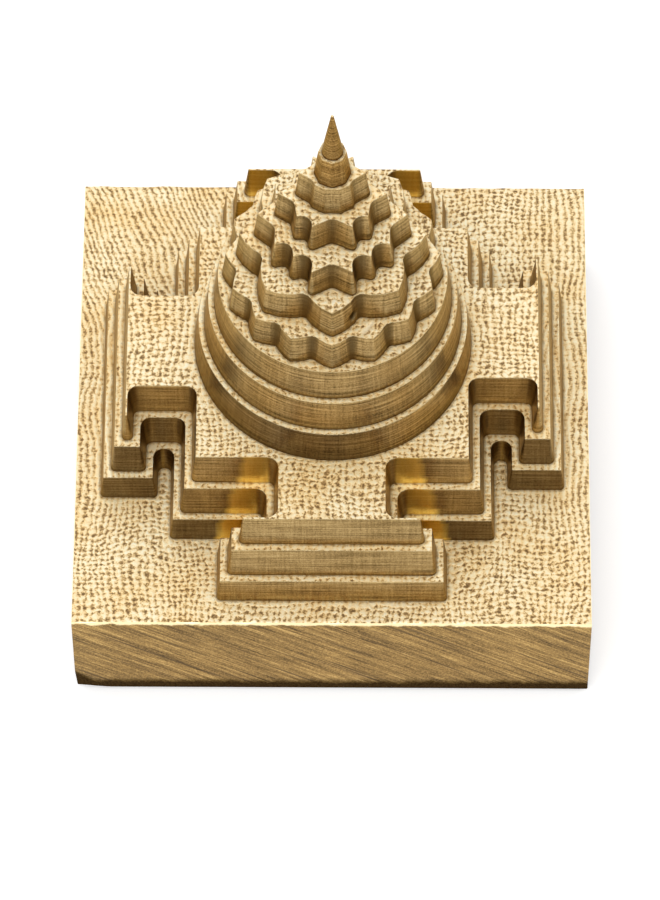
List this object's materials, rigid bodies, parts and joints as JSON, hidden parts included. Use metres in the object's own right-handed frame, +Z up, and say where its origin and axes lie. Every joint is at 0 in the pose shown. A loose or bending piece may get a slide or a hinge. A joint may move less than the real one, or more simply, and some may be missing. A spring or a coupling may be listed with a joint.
{
  "type": "meru shri yantra",
  "caption": "Stepped brass ritual pyramid: square base, walls with T-shaped gates, round rings and star-shaped tiers rising to a central pointed spike.",
  "frame": {"origin": "middle of the base's underside, on the surface that it stands on", "axes": "+Z up to the spike, +X to the right and -Y towards the viewer of the picture, with one gate facing each way"},
  "size_m": [0.0756, 0.0756, 0.0962],
  "materials": {
    "brass": "as milled, with tool marks on the floors and walls"
  },
  "bodies": {
    "root": {"base_block": "brass", "lower_gate_wall": "brass", "middle_gate_wall": "brass", "upper_gate_wall": "brass", "lower_ring": "brass", "middle_ring": "brass", "upper_ring": "brass", "sixteen_petal_tier": "brass", "eight_petal_tier": "brass", "fourteen_point_tier": "brass", "outer_ten_point_tier": "brass", "inner_ten_point_tier": "brass", "eight_corner_tier": "brass", "bindu_spike": "brass"}
  },
  "joints": []
}
